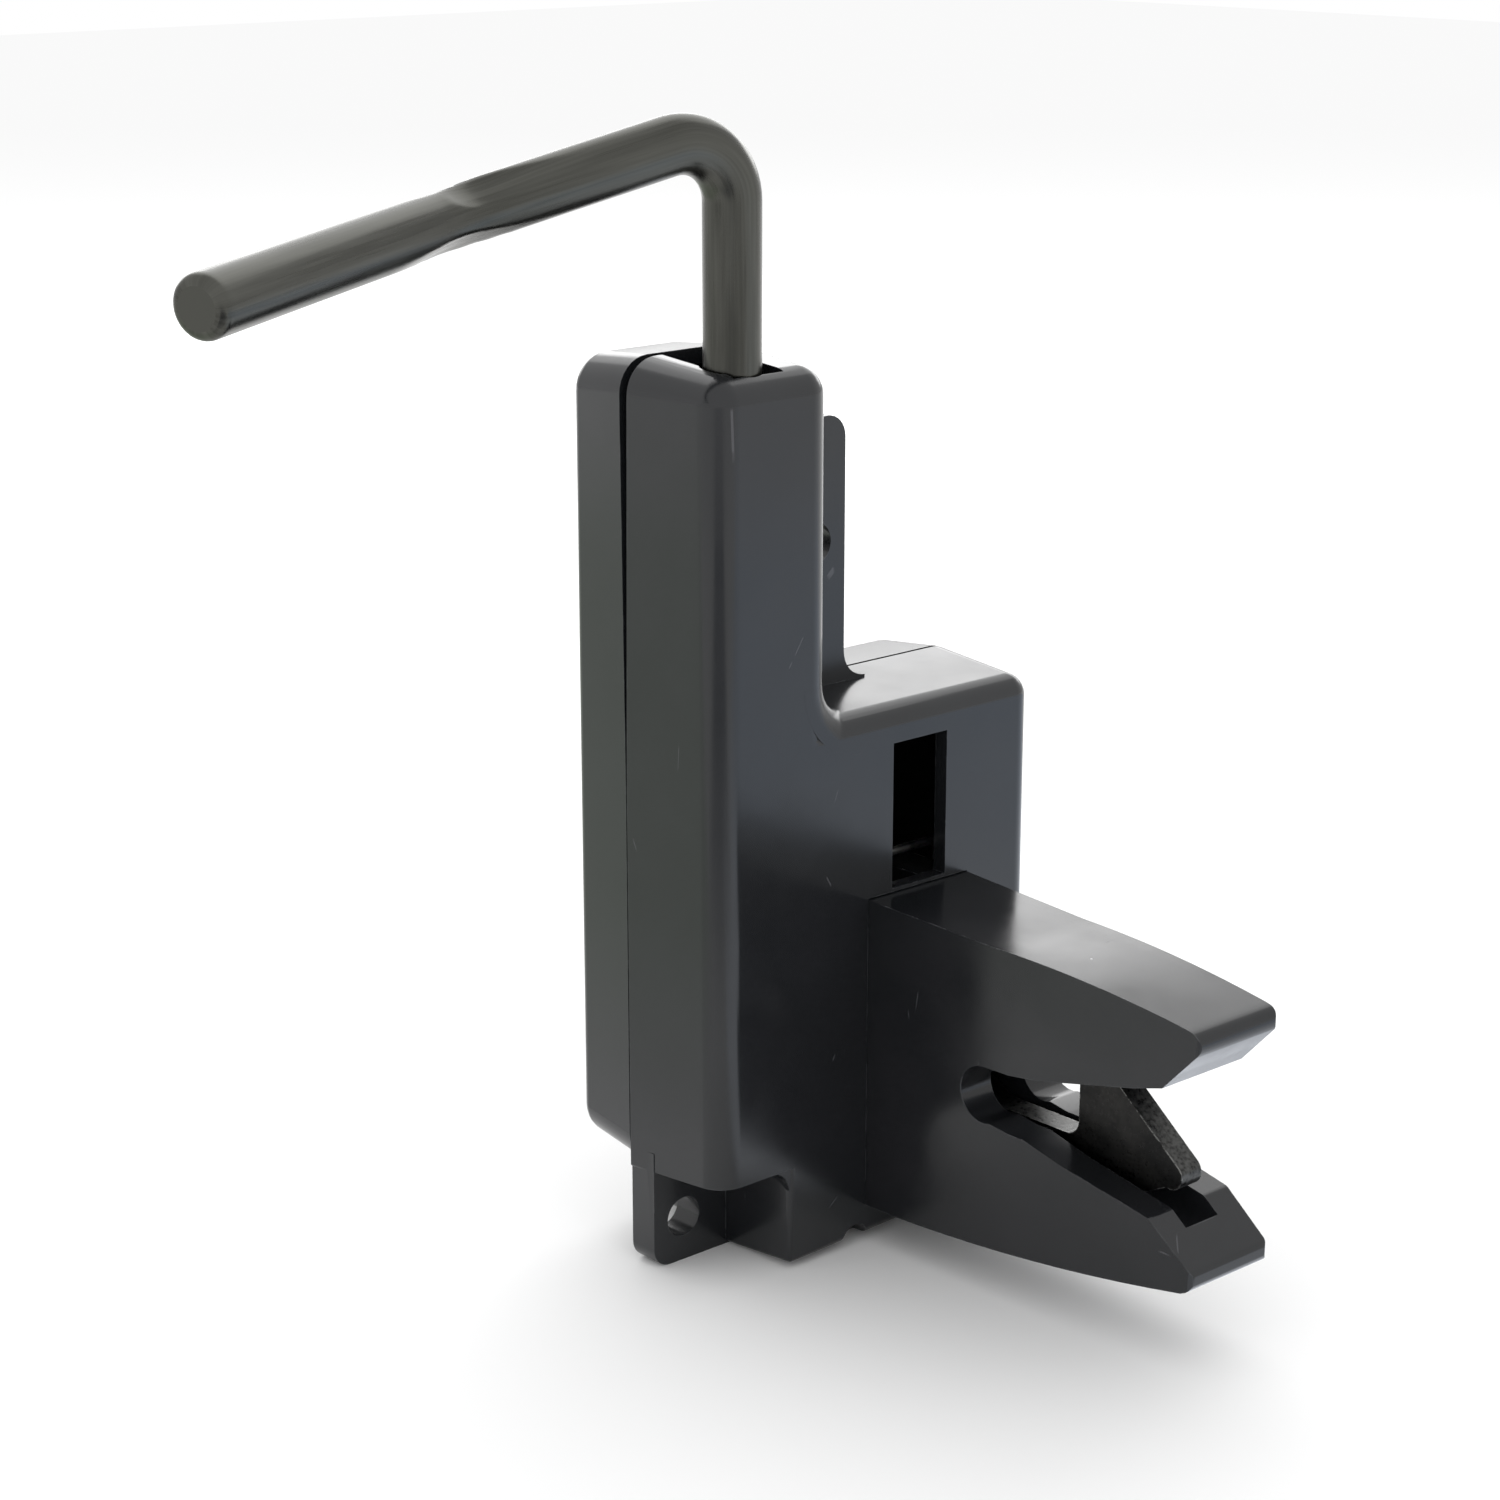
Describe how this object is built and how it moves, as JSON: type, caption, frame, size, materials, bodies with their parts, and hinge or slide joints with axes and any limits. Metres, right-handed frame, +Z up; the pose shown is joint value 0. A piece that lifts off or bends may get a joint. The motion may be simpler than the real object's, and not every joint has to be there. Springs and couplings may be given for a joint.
{
  "type": "stair gate latch",
  "caption": "Stair gate latch with a tall moulded housing, a forked jaw holding a sprung hook pawl, two mounting ears and a bent rod handle that turns to release it.",
  "frame": {"origin": "centre of the lower mounting hole on the mounting plane, which is the seam between the front shell and the rear cover", "axes": "+X from the handle tower towards the shoulder, -Y out along the jaws, +Z up along the handle rod's axis"},
  "size_m": [0.1715, 0.1085, 0.1963],
  "materials": {
    "housing": "satin black powder coat",
    "rod": "blackened steel with a streaky sheen",
    "pawl": "dark worn steel",
    "steel": "plain"
  },
  "bodies": {
    "housing": {"front_shell": "housing", "rear_cover": "housing", "jaw_block": "housing", "pawl_pivot_pin": "steel", "pivot_clip_left": "steel", "pivot_clip_right": "steel", "pawl_spacer_left": "steel", "pawl_spacer_right": "steel", "cover_screw_1": "steel", "cover_screw_2": "steel", "cover_screw_3": "steel", "cover_screw_4": "steel", "cover_screw_5": "steel", "jaw_screw_1": "steel", "jaw_screw_2": "steel", "jaw_screw_3": "steel", "jaw_screw_4": "steel"},
    "pawl_body": {"pawl": "pawl", "pawl_spring": "steel"},
    "handle": {"handle_rod": "rod"}
  },
  "joints": [
    {"name": "handle_turn", "type": "hinge", "parent": "housing", "child": "handle", "pos_m": [0.0047, -0.0135, 0.149], "axis": [0, 0, 1], "range_deg": [-16, 0], "stiffness_Nm_per_rad": 0.15, "springref_deg": 17.19},
    {"name": "pawl_swing", "type": "hinge", "parent": "housing", "child": "pawl_body", "pos_m": [0.0403, -0.008, 0.041], "axis": [1, 0, 0], "range_deg": [0, 17], "stiffness_Nm_per_rad": 0.2, "springref_deg": -17.19, "deforming": ["pawl_spring"]}
  ],
  "couplings": [
    {"joint": "pawl_swing", "follows": "handle_turn", "ratio": -1.05}
  ]
}
